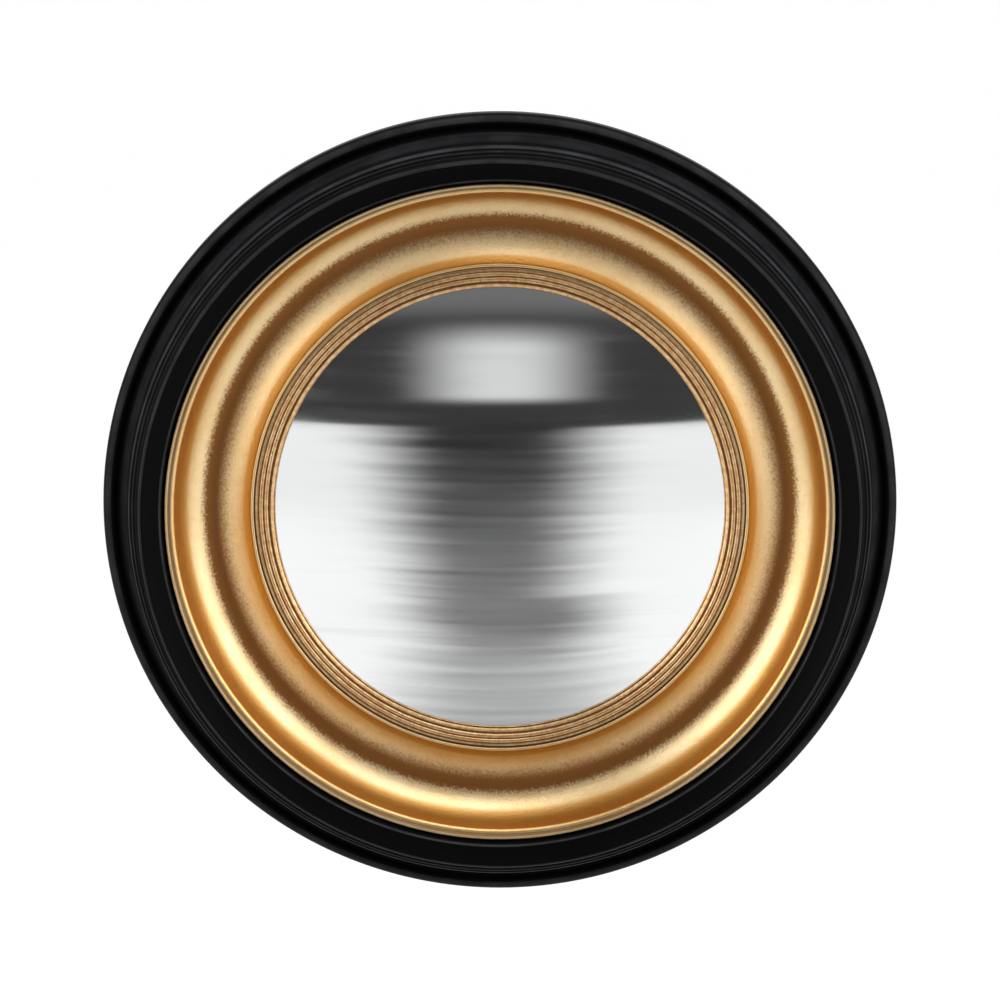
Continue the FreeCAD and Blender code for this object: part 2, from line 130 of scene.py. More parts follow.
@dataclass
class Outline:
    """The section of a turned piece, drawn as points of (radius, height) in millimetres."""

    points: list[tuple[float, float]] = field(default_factory=list)

    def line(self, radius: float, height: float) -> Outline:
        """Goes straight to a point.

        Args:
            radius: Distance from the mirror's axis.
            height: Distance in front of the wall.

        Returns:
            The outline itself, so that moves can be chained.
        """
        self.points.append((radius, height))
        return self

    def arc(self, radius: float, height: float, bulge: float, steps: int = 8) -> Outline:
        """Goes round an arc to a point.

        Args:
            radius: Distance from the mirror's axis at the arc's end.
            height: Distance in front of the wall at the arc's end.
            bulge: Height of the arc over its chord, above zero to the right of the way.
            steps: Straight runs that stand for the arc.

        Returns:
            The outline itself, so that moves can be chained.
        """
        start_r, start_h = self.points[-1]
        chord = Vector((radius - start_r, height - start_h))
        half = chord.length / 2
        arc_r = (half * half + bulge * bulge) / (2 * abs(bulge))
        side = Vector((chord.y, -chord.x)).normalized() * math.copysign(1.0, bulge)
        middle = Vector((start_r, start_h)) + chord / 2
        centre = middle - side * (arc_r - abs(bulge))
        spoke = Vector((start_r, start_h)) - centre
        turn = 2 * math.asin(min(1.0, half / arc_r))
        if abs(bulge) > half:
            turn = 2 * math.pi - turn
        turn = math.copysign(turn, -bulge)
        for step in range(1, steps):
            angle = -turn * step / steps
            cos, sin = math.cos(angle), math.sin(angle)
            x = centre.x + spoke.x * cos - spoke.y * sin
            y = centre.y + spoke.x * sin + spoke.y * cos
            self.points.append((x, y))
        self.points.append((radius, height))
        return self


def turned(name: str, outline: Outline, round_mm: float = 0.0, closed: bool = True,
           smooth_angle: float = SMOOTH_ANGLE) -> bpy.types.Object:
    """Draws an outline point by point, eases its corners and spins it about the Y axis.

    Args:
        name: Name of the piece.
        outline: The section, whose first point is repeated at its end if it is closed.
        round_mm: Rounding of its sharp corners in millimetres, zero for none.
        closed: Whether the outline is a ring's closed section.
        smooth_angle: Angle in degrees below which edges are smoothed.

    Returns:
        The turned object.
    """
    points = [Vector((radius * MM, -height * MM, 0.0)) for radius, height in outline.points]
    if closed:
        points.append(points[0].copy())
    select_only(None)
    bpy.ops.mesh.primitive_plane_add(size=0.0001, location=points[0])
    piece = bpy.context.object
    piece.name = name
    piece.data.name = name
    bpy.ops.object.mode_set(mode="EDIT")
    bpy.ops.mesh.select_all(action="SELECT")
    bpy.ops.mesh.merge(type="CENTER")
    for start, end in zip(points, points[1:]):
        bpy.ops.mesh.extrude_region_move(TRANSFORM_OT_translate={"value": end - start})
    bpy.ops.mesh.select_all(action="SELECT")
    bpy.ops.mesh.remove_doubles(threshold=1e-6)
    if round_mm:
        ease_corners(piece, round_mm * MM)
    bpy.ops.mesh.select_all(action="SELECT")
    bpy.ops.mesh.spin(steps=TURNS, angle=2 * math.pi, center=(0, 0, 0), axis=(0, 1, 0))
    bpy.ops.mesh.select_all(action="SELECT")
    bpy.ops.mesh.remove_doubles(threshold=MERGE)
    bpy.ops.mesh.normals_make_consistent(inside=False)
    bpy.ops.object.mode_set(mode="OBJECT")
    settle(piece, smooth_angle)
    return piece


def ease_corners(piece: bpy.types.Object, offset: float) -> None:
    """Rounds the sharp corners of an outline that is open for editing.

    Args:
        piece: The object whose mesh is a chain of edges, in edit mode.
        offset: How far from the corner the rounding starts, in metres.
    """
    bpy.ops.mesh.select_all(action="DESELECT")
    bpy.ops.object.mode_set(mode="OBJECT")
    neighbours: dict[int, list[Vector]] = {}
    mesh = piece.data
    for edge in mesh.edges:
        for here, there in (edge.vertices, tuple(edge.vertices)[::-1]):
            way = mesh.vertices[there].co - mesh.vertices[here].co
            neighbours.setdefault(here, []).append(way)
    corner_angle = 24
    for index, ways in neighbours.items():
        if len(ways) == 2 and math.degrees(ways[0].angle(-ways[1])) > corner_angle:
            mesh.vertices[index].select = True
    bpy.ops.object.mode_set(mode="EDIT")
    bpy.ops.mesh.bevel(offset=offset, segments=3, affect="VERTICES", clamp_overlap=True)


def refined_copy(node: str, name: str, edge_mm: float) -> bpy.types.Object:
    """Copies a CAD node's mesh, joins its loose faces and rounds its edges.

    Args:
        node: The CAD node to copy.
        name: Name of the new piece.
        edge_mm: Width of the rounded edges in millimetres, zero for none.

    Returns:
        The new object.
    """
    source = FRAME["nodes"][node]
    mesh = source.data.copy()
    piece = bpy.data.objects.new(name, mesh)
    mesh.name = name
    bpy.context.collection.objects.link(piece)
    piece.matrix_world = source.matrix_world.copy()
    mesh.materials.clear()
    select_only(piece)
    bpy.ops.object.mode_set(mode="EDIT")
    bpy.ops.mesh.select_all(action="SELECT")
    bpy.ops.mesh.customdata_custom_splitnormals_clear()
    bpy.ops.mesh.remove_doubles(threshold=MERGE)
    bpy.ops.mesh.dissolve_limited(angle_limit=math.radians(0.5))
    bpy.ops.object.mode_set(mode="OBJECT")
    if edge_mm:
        softened(piece, edge_mm * MM)
    settle(piece, SMOOTH_ANGLE)
    return piece


# ---------------------------------------------------------------- material helpers


class Recipe:
    """A node material being put together."""

    def __init__(self, name: str) -> None:
        """Starts a material with one shader and its object coordinates.

        Args:
            name: Name of the material.
        """
        self.material = bpy.data.materials.new(name)
        self.material.use_nodes = True
        self.tree = self.material.node_tree
        self.shader = self.tree.nodes["Principled BSDF"]
        coordinates = self.tree.nodes.new("ShaderNodeTexCoord")
        self.place = coordinates.outputs["Object"]

    def add(self, kind: str, inputs: dict[Any, Any] | None = None,
            **settings: Any) -> bpy.types.Node:
        """Adds a node.

        Args:
            kind: Blender's name of the node.
            inputs: Values or sockets for its inputs, by name or number.
            **settings: Properties of the node.

        Returns:
            The new node.
        """
        node = self.tree.nodes.new(kind)
        for key, value in settings.items():
            setattr(node, key, value)
        for key, value in (inputs or {}).items():
            self.feed(node.inputs[key], value)
        return node

    def feed(self, socket: bpy.types.NodeSocket, value: Any) -> None:
        """Links a socket to another one, or sets its value.

        Args:
            socket: The input to feed.
            value: A socket, a number, a vector, or a colour of three numbers.
        """
        if isinstance(value, bpy.types.NodeSocket):
            self.tree.links.new(value, socket)
        elif socket.type == "RGBA" and isinstance(value, tuple):
            socket.default_value = (*value, 1.0)
        else:
            socket.default_value = value

    def calc(self, operation: str, *values: Any) -> bpy.types.NodeSocket:
        """Does a sum on numbers or sockets and gives the result's socket."""
        return self.add("ShaderNodeMath", dict(enumerate(values)), operation=operation).outputs[0]

    def clamp_range(self, value: Any, low: float, high: float, to_low: float = 0.0,
                    to_high: float = 1.0) -> bpy.types.NodeSocket:
        """Maps a range of values smoothly onto another.

        Args:
            value: The socket to map.
            low: Where the range starts.
            high: Where the range ends.
            to_low: Result at the start.
            to_high: Result at the end.

        Returns:
            The mapped value's socket.
        """
        inputs = {0: value, 1: low, 2: high, 3: to_low, 4: to_high}
        return self.add("ShaderNodeMapRange", inputs, interpolation_type="SMOOTHSTEP").outputs[0]

    def noise(self, size_mm: float, detail: float = 2.0, vector: Any = None, w: Any = None,
              roughness: float = 0.5) -> bpy.types.NodeSocket:
        """Noise of a given grain.

        Args:
            size_mm: Rough size of its lumps in millimetres.
            detail: Octaves.
            vector: Coordinates, or None for the object's own.
            w: A fourth coordinate, or None.
            roughness: Strength of the finer octaves.

        Returns:
            The noise value's socket.
        """
        inputs = {"Vector": vector or self.place, "Scale": 1000.0 / size_mm, "Detail": detail,
                  "Roughness": roughness}
        if w is None:
            return self.add("ShaderNodeTexNoise", inputs).outputs[0]
        inputs["W"] = w
        return self.add("ShaderNodeTexNoise", inputs, noise_dimensions="4D").outputs[0]

    def blend(self, factor: Any, first: Any, second: Any) -> bpy.types.NodeSocket:
        """Mixes two colours.

        Args:
            factor: How much of the second.
            first: A colour or socket.
            second: A colour or socket.

        Returns:
            The mixed colour's socket.
        """
        node = self.add("ShaderNodeMix", data_type="RGBA")
        for key, value in ((0, factor), (6, first), (7, second)):
            self.feed(node.inputs[key], value)
        return node.outputs[2]

    def stretched(self, scale: tuple[float, float, float]) -> bpy.types.NodeSocket:
        """The place with each axis scaled, which draws a pattern out along small scales."""
        return self.add("ShaderNodeMapping", {"Vector": self.place, "Scale": scale}).outputs[0]

    def bump(self, height: Any, depth_mm: float, strength: float,
             under: Any = None) -> bpy.types.NodeSocket:
        """Turns a height into a surface normal.

        Args:
            height: The height's socket, from 0 to 1.
            depth_mm: Depth of the relief in millimetres.
            strength: Share of it that shows.
            under: A bump beneath this one, or None.

        Returns:
            The normal's socket.
        """
        inputs = {"Height": height, "Distance": depth_mm * MM, "Strength": strength}
        if under is not None:
            inputs["Normal"] = under
        return self.add("ShaderNodeBump", inputs).outputs[0]

    def around_axis(self) -> tuple[Any, Any, Any, Any]:
        """Splits the place into what a turned piece knows.

        Returns:
            Sockets of the radius and height in metres, and of the cosine and sine of the
            angle round the mirror's axis.
        """
        parts = self.add("ShaderNodeSeparateXYZ", {0: self.place}).outputs
        flat = self.add("ShaderNodeCombineXYZ", {0: parts[0], 2: parts[2]}).outputs[0]
        radius = self.add("ShaderNodeVectorMath", {0: flat}, operation="LENGTH").outputs[1]
        height = self.calc("MULTIPLY", parts[1], -1.0)
        cos = self.calc("DIVIDE", parts[0], radius)
        return radius, height, cos, self.calc("DIVIDE", parts[2], radius)

    def plateau(self, radius: Any,
                edges_mm: tuple[float, float, float, float]) -> bpy.types.NodeSocket:
        """A mask that rises, stays at 1 and falls again along the radius.

        Args:
            radius: The radius's socket in metres.
            edges_mm: Where it starts to rise, is full, starts to fall and is gone.

        Returns:
            The mask's socket.
        """
        rise, full, still, end = (edge * MM for edge in edges_mm)
        rising = self.clamp_range(radius, rise, full)
        return self.calc("MULTIPLY", rising, self.clamp_range(radius, end, still))

    def ring_band(self, radius: Any, middle_mm: float, half_mm: float,
                  fade_mm: float) -> bpy.types.NodeSocket:
        """A mask that is 1 on a band of radii.

        Args:
            radius: The radius's socket in metres.
            middle_mm: Middle of the band in millimetres.
            half_mm: Half its width.
            fade_mm: Width of its soft edges.

        Returns:
            The mask's socket.
        """
        away = self.calc("ABSOLUTE", self.calc("SUBTRACT", radius, middle_mm * MM))
        return self.clamp_range(away, half_mm * MM, (half_mm + fade_mm) * MM, 1.0, 0.0)

    def use(self, **inputs: Any) -> bpy.types.Material:
        """Sets the shader's own sockets and hands the material over.

        Args:
            **inputs: Values or sockets, with spaces in names written as underscores.

        Returns:
            The finished material.
        """
        for key, value in inputs.items():
            self.feed(self.shader.inputs[key.replace("_", " ")], value)
        return self.material


# ---------------------------------------------------------------- finishes


@dataclass(frozen=True)
class GildedFinish:
    """Burnished metal leaf over a warm undercoat, with fine grain, brush lines and abraded edges,
    painted shade in its grooves and painted reflection bands of deep orange.
    """

    bright: tuple[float, float, float] = (0.84, 0.645, 0.365)
    deep: tuple[float, float, float] = (0.74, 0.47, 0.19)
    # Painted reflection: deep orange that stands in for the leaf's interreflection, laid on two
    # bands of radii.
    interreflection_amber: tuple[float, float, float] = (0.77, 0.435, 0.13)
    russet: tuple[float, float, float] = (0.62, 0.345, 0.155)
    trough: tuple[float, float, float] = (0.25, 0.092, 0.020)
    # Colour of the undercoat where the leaf is abraded near the glass, also used as painted shade
    # in the grooves.
    ground_and_groove_shade: tuple[float, float, float] = (0.16, 0.07, 0.025)
    sheen: float = 0.31
    interreflection_amber_mm: tuple[tuple[float, float, float], ...] = ((120.7, 1.3, 1.7), (152.6, 1.8, 2.2))
    trough_mm: tuple[float, float, float, float] = (128.0, 136.4, 140.4, 143.8)
    dish_mm: tuple[float, float, float, float] = (123.5, 129.0, 140.5, 145.0)
    slip_mm: tuple[float, float] = (118.0, 116.0)
    # Radius and half width of each groove that gets painted shade.
    groove_shade_mm: tuple[tuple[float, float], ...] = (
        (117.4, 0.22), (110.1, 0.25), (112.8, 0.15), (115.3, 0.22), (157.2, 0.45))
    groove_shade_fade_mm: float = 0.45

    def make(self) -> bpy.types.Material:
        """Builds the material.

        Returns:
            The gilding.
        """
        r = Recipe("gilding")
        radius, height, cos, sin = r.around_axis()
        lines = r.add("ShaderNodeCombineXYZ", {
            0: radius, 1: r.calc("MULTIPLY", cos, 0.022),
            2: r.calc("MULTIPLY", sin, 0.022)}).outputs[0]
        streaks = r.noise(1.6, 2.0, lines, r.calc("MULTIPLY", height, 420.0))
        grain = r.noise(1.15, 3.0, roughness=0.75)
        mottle = r.noise(4.0, 3.0)
        cloud = r.noise(38.0, 2.0)
        tone = r.calc("ADD", r.calc("MULTIPLY", cloud, 0.6), r.calc("MULTIPLY", mottle, 0.4))
        colour = r.blend(r.clamp_range(tone, 0.62, 0.36, 0.0, 0.45), self.bright, self.deep)
        # Painted reflection: two deep orange bands, on the top of the outer flank and on the inner
        # lip's shoulder, stand in for light bounced between the scoop's walls.
        for middle, half, fade in self.interreflection_amber_mm:
            colour = r.blend(r.ring_band(radius, middle, half, fade), colour, self.interreflection_amber)
        near_glass = r.clamp_range(radius, *(edge * MM for edge in self.slip_mm))
        dull = r.clamp_range(r.noise(2.6, 3.0), 0.36, 0.62, 0.35, 0.95)
        colour = r.blend(r.calc("MULTIPLY", near_glass, dull), colour, self.russet)
        colour = r.blend(r.clamp_range(streaks, 0.52, 0.75, 0.0, 0.12), colour, self.deep)
        speckle = r.calc("MULTIPLY", r.calc("SUBTRACT", grain, 0.5), 0.0075)
        spread = r.calc("ADD", radius, speckle)
        # A darker brown band round the bottom of the scoop, with a speckled edge.
        trough_darkening = r.plateau(spread, self.trough_mm)
        colour = r.blend(r.calc("MULTIPLY", trough_darkening, 0.96), colour, self.trough)
        colour = r.blend(r.clamp_range(grain, 0.57, 0.72, 0.0, 0.30), colour, self.trough)
        # Painted shade: the grooves between reeds, beads and fillets are darkened towards the
        # undercoat colour. Near the glass the same colour shows real abrasion of the leaf.
        groove_shade: Any = 0.0
        for middle, half in self.groove_shade_mm:
            groove_shade = r.calc("MAXIMUM", groove_shade,
                           r.ring_band(radius, middle, half, self.groove_shade_fade_mm))
        rub_and_highlight = r.clamp_range(r.noise(1.3, 3.0, roughness=0.65), 0.60, 0.72)
        wear_and_highlight = r.calc("MULTIPLY", rub_and_highlight, r.calc("MULTIPLY", near_glass, 0.55))
        dark = r.calc("MAXIMUM", wear_and_highlight, r.calc("MULTIPLY", groove_shade, 0.72))
        colour = r.blend(dark, colour, self.ground_and_groove_shade)
        uneven = r.calc("MULTIPLY", r.calc("SUBTRACT", mottle, 0.5), 0.10)
        gloss = r.calc("ADD", self.sheen, uneven)
        gloss = r.calc("ADD", gloss, r.calc("MULTIPLY", dark, 0.25))
        dished = r.plateau(radius, self.dish_mm)
        gloss = r.calc("ADD", gloss, r.calc("MULTIPLY", dished, 0.10))
        normal = r.bump(grain, 0.22, 0.75)
        normal = r.bump(streaks, 0.03, 0.08, normal)
        return r.use(Base_Color=colour, Roughness=gloss, Normal=normal, Metallic=1.0)


@dataclass(frozen=True)
class EbonisedFinish:
    """Satin black paint on turned wood, with painted grey highlights along its ridges and arrises.
    """

    black: tuple[float, float, float] = (0.0016, 0.0018, 0.0021)
    # Painted highlight grey, laid along the ridges.
    ridge_highlight_grey: tuple[float, float, float] = (0.060, 0.061, 0.065)
    dust: tuple[float, float, float] = (0.42, 0.41, 0.38)
    # Radius, half width, fade and strength of each painted highlight band.
    ridge_highlights_mm: tuple[tuple[float, float, float, float], ...] = (
        (161.2, 0.20, 0.45, 0.85), (170.5, 0.45, 0.60, 0.50), (172.8, 0.15, 0.40, 0.30),
        (174.5, 0.20, 0.45, 0.40), (176.2, 0.25, 0.40, 0.90), (179.3, 0.9, 1.3, 0.42),
        (187.5, 0.8, 1.2, 0.62))
    sheen: float = 0.38

    def make(self) -> bpy.types.Material:
        """Builds the material.

        Returns:
            The ebonised finish.
        """
        r = Recipe("ebonised")
        radius, height, cos, sin = r.around_axis()
        lines = r.add("ShaderNodeCombineXYZ", {
            0: radius, 1: r.calc("MULTIPLY", cos, 0.03),
            2: r.calc("MULTIPLY", sin, 0.03)}).outputs[0]
        turning = r.noise(1.5, 2.0, lines, r.calc("MULTIPLY", height, 420.0))
        orange_peel = r.noise(1.4, 2.0)
        patch = r.noise(30.0, 3.0)
        # Painted highlights: grey bands along the reeds, the riser's top and the rim bead, broken
        # up by noise.
        edge: Any = 0.0
        for middle, half, fade, wear_and_highlight in self.ridge_highlights_mm:
            band = r.ring_band(radius, middle, half, fade)
            edge = r.calc("MAXIMUM", edge, r.calc("MULTIPLY", band, wear_and_highlight))
        breaks = r.clamp_range(r.noise(14.0, 3.0), 0.34, 0.66, 0.55, 1.0)
        rub_and_highlight = r.calc("MULTIPLY", edge, breaks)
        cells = r.add("ShaderNodeTexVoronoi", {"Vector": r.place, "Scale": 105.0})
        pick = r.add("ShaderNodeSeparateColor", {0: cells.outputs["Color"]}).outputs[0]
        spot = r.clamp_range(cells.outputs["Distance"], 0.020, 0.034, 1.0, 0.0)
        speck = r.calc("MULTIPLY", spot, r.calc("GREATER_THAN", pick, 0.93))
        colour = r.blend(rub_and_highlight, self.black, self.ridge_highlight_grey)
        colour = r.blend(r.calc("MULTIPLY", speck, 0.8), colour, self.dust)
        uneven = r.calc("MULTIPLY", r.calc("SUBTRACT", patch, 0.5), 0.14)
        gloss = r.calc("ADD", self.sheen, uneven)
        gloss = r.calc("ADD", gloss, r.calc("MULTIPLY", speck, 0.4))
        normal = r.bump(orange_peel, 0.02, 0.25)
        normal = r.bump(turning, 0.02, 0.10, normal)
        return r.use(Base_Color=colour, Roughness=gloss, Normal=normal, Specular_IOR_Level=0.045)


@dataclass(frozen=True)
class SilveredFinish:
    """Polished glass silvered behind, wiped sideways."""

    silver: tuple[float, float, float] = (0.845, 0.85, 0.855)
    misted: tuple[float, float, float] = (0.80, 0.81, 0.82)
    wiping: tuple[float, float, float] = (0.58, 0.59, 0.60)

    def make(self) -> bpy.types.Material:
        """Builds the material.

        Returns:
            The mirror's face.
        """
        r = Recipe("silvered_glass")
        wiped = r.stretched((0.06, 0.3, 1.0))
        smear = r.noise(7.0, 3.0, wiped)
        thread = r.stretched((0.022, 0.1, 1.0))
        streak = r.noise(7.0, 5.0, thread, roughness=0.6)
        cloud = r.noise(60.0, 2.0)
        tint = r.blend(r.clamp_range(cloud, 0.35, 0.7, 0.0, 0.12), self.silver, self.misted)
        tint = r.blend(r.clamp_range(streak, 0.56, 0.74, 0.0, 0.24), tint, self.wiping)
        gloss = r.clamp_range(smear, 0.35, 0.75, 0.07, 0.11)
        sideways = r.add("ShaderNodeCombineXYZ", {0: 1.0}).outputs[0]
        return r.use(Base_Color=tint, Roughness=gloss, Metallic=1.0, Anisotropic=0.95,
                     Tangent=sideways)


@dataclass(frozen=True)
class WoodFinish:
    """Bare softwood or board, with grain along X."""

    name: str
    light: tuple[float, float, float]
    dark: tuple[float, float, float]
    grain_mm: float
    fibre_mm: float
    coarse: float = 0.62

    def make(self) -> bpy.types.Material:
        """Builds the material.

        Returns:
            The wood.
        """
        r = Recipe(self.name)
        along = r.stretched((0.08, 1.0, 1.0))
        rings = r.noise(self.grain_mm, 4.0, along)
        fibre = r.noise(self.fibre_mm, 3.0, along)
        tone = r.calc("ADD", r.calc("MULTIPLY", rings, 0.65), r.calc("MULTIPLY", fibre, 0.35))
        colour = r.blend(r.clamp_range(tone, 0.34, 0.66), self.light, self.dark)
        gloss = r.calc("ADD", self.coarse, r.calc("MULTIPLY", fibre, 0.2))
        return r.use(Base_Color=colour, Roughness=gloss, Normal=r.bump(fibre, 0.12, 0.5))


@dataclass(frozen=True)
class BoardFinish:
    """Brown hardboard with pressed fibres."""

    light: tuple[float, float, float] = (0.23, 0.125, 0.062)
    dark: tuple[float, float, float] = (0.105, 0.052, 0.026)
    fleck: tuple[float, float, float] = (0.35, 0.22, 0.12)

    def make(self) -> bpy.types.Material:
        """Builds the material.

        Returns:
            The board.
        """
        r = Recipe("hardboard")
        fibres = r.noise(1.1, 4.0, roughness=0.7)
        cells = r.add("ShaderNodeTexVoronoi", {"Vector": r.place, "Scale": 380.0})
        flecks = cells.outputs["Distance"]
        cloud = r.noise(45.0, 3.0)
        tone = r.calc("ADD", r.calc("MULTIPLY", fibres, 0.6), r.calc("MULTIPLY", cloud, 0.4))
        colour = r.blend(r.clamp_range(tone, 0.35, 0.65), self.dark, self.light)
        colour = r.blend(r.clamp_range(flecks, 0.05, 0.22, 0.35, 0.0), colour, self.fleck)
        gloss = r.calc("ADD", 0.42, r.calc("MULTIPLY", fibres, 0.25))
        return r.use(Base_Color=colour, Roughness=gloss, Normal=r.bump(fibres, 0.06, 0.6))


@dataclass(frozen=True)
class MetalFinish:
    """Small hardware: zinc-plated steel or satin brass, scuffed by handling."""

    name: str
    clean: tuple[float, float, float]
    dull: tuple[float, float, float]
    sheen: float

    def make(self) -> bpy.types.Material:
        """Builds the material.

        Returns:
            The metal.
        """
        r = Recipe(self.name)
        drawn = r.add("ShaderNodeMapping", {"Vector": r.place, "Rotation": (0.0, 0.6, 0.0),
                                            "Scale": (0.1, 1.0, 1.0)}).outputs[0]
        scratch = r.noise(0.35, 3.0, drawn)
        patch = r.noise(11.0, 4.0)
        colour = r.blend(r.clamp_range(patch, 0.38, 0.66), self.clean, self.dull)
        gloss = r.calc("ADD", self.sheen, r.calc("MULTIPLY", patch, 0.22))
        return r.use(Base_Color=colour, Roughness=gloss, Normal=r.bump(scratch, 0.02, 0.4),
                     Metallic=1.0)


@dataclass(frozen=True)
class SoftFinish:
    """Matt black rubber or felt."""

    name: str
    colour: tuple[float, float, float]
    lift: tuple[float, float, float]
    grain_mm: float
    coarse: float

    def make(self) -> bpy.types.Material:
        """Builds the material.

        Returns:
            The rubber or felt.
        """
        r = Recipe(self.name)
        grain = r.noise(self.grain_mm, 3.0, roughness=0.65)
        dust = r.noise(5.0, 3.0)
        colour = r.blend(r.clamp_range(dust, 0.45, 0.75, 0.0, 0.5), self.colour, self.lift)
        gloss = r.calc("ADD", self.coarse, r.calc("MULTIPLY", grain, 0.15))
        return r.use(Base_Color=colour, Roughness=gloss, Normal=r.bump(grain, 0.05, 0.6))


@dataclass
class Finishes:
    """Every material of the mirror, made once."""

    gilding: bpy.types.Material = field(default_factory=lambda: GildedFinish().make())
    ebonised: bpy.types.Material = field(default_factory=lambda: EbonisedFinish().make())
    silvered: bpy.types.Material = field(default_factory=lambda: SilveredFinish().make())
    bare_wood: bpy.types.Material = field(default_factory=lambda: WoodFinish(
        "bare_wood", (0.56, 0.38, 0.20), (0.40, 0.235, 0.11), 6.0, 0.8).make())
    board: bpy.types.Material = field(default_factory=lambda: BoardFinish().make())
    zinc: bpy.types.Material = field(default_factory=lambda: MetalFinish(
        "zinc_plate", (0.64, 0.64, 0.63), (0.53, 0.53, 0.535), 0.30).make())
    brass: bpy.types.Material = field(default_factory=lambda: MetalFinish(
        "satin_brass", (0.74, 0.54, 0.25), (0.63, 0.44, 0.185), 0.28).make())
    rubber: bpy.types.Material = field(default_factory=lambda: SoftFinish(
        "rubber", (0.018, 0.018, 0.018), (0.06, 0.058, 0.055), 0.5, 0.6).make())
    felt: bpy.types.Material = field(default_factory=lambda: SoftFinish(
        "felt", (0.012, 0.012, 0.012), (0.03, 0.03, 0.03), 0.3, 0.85).make())


# ---------------------------------------------------------------- turned pieces


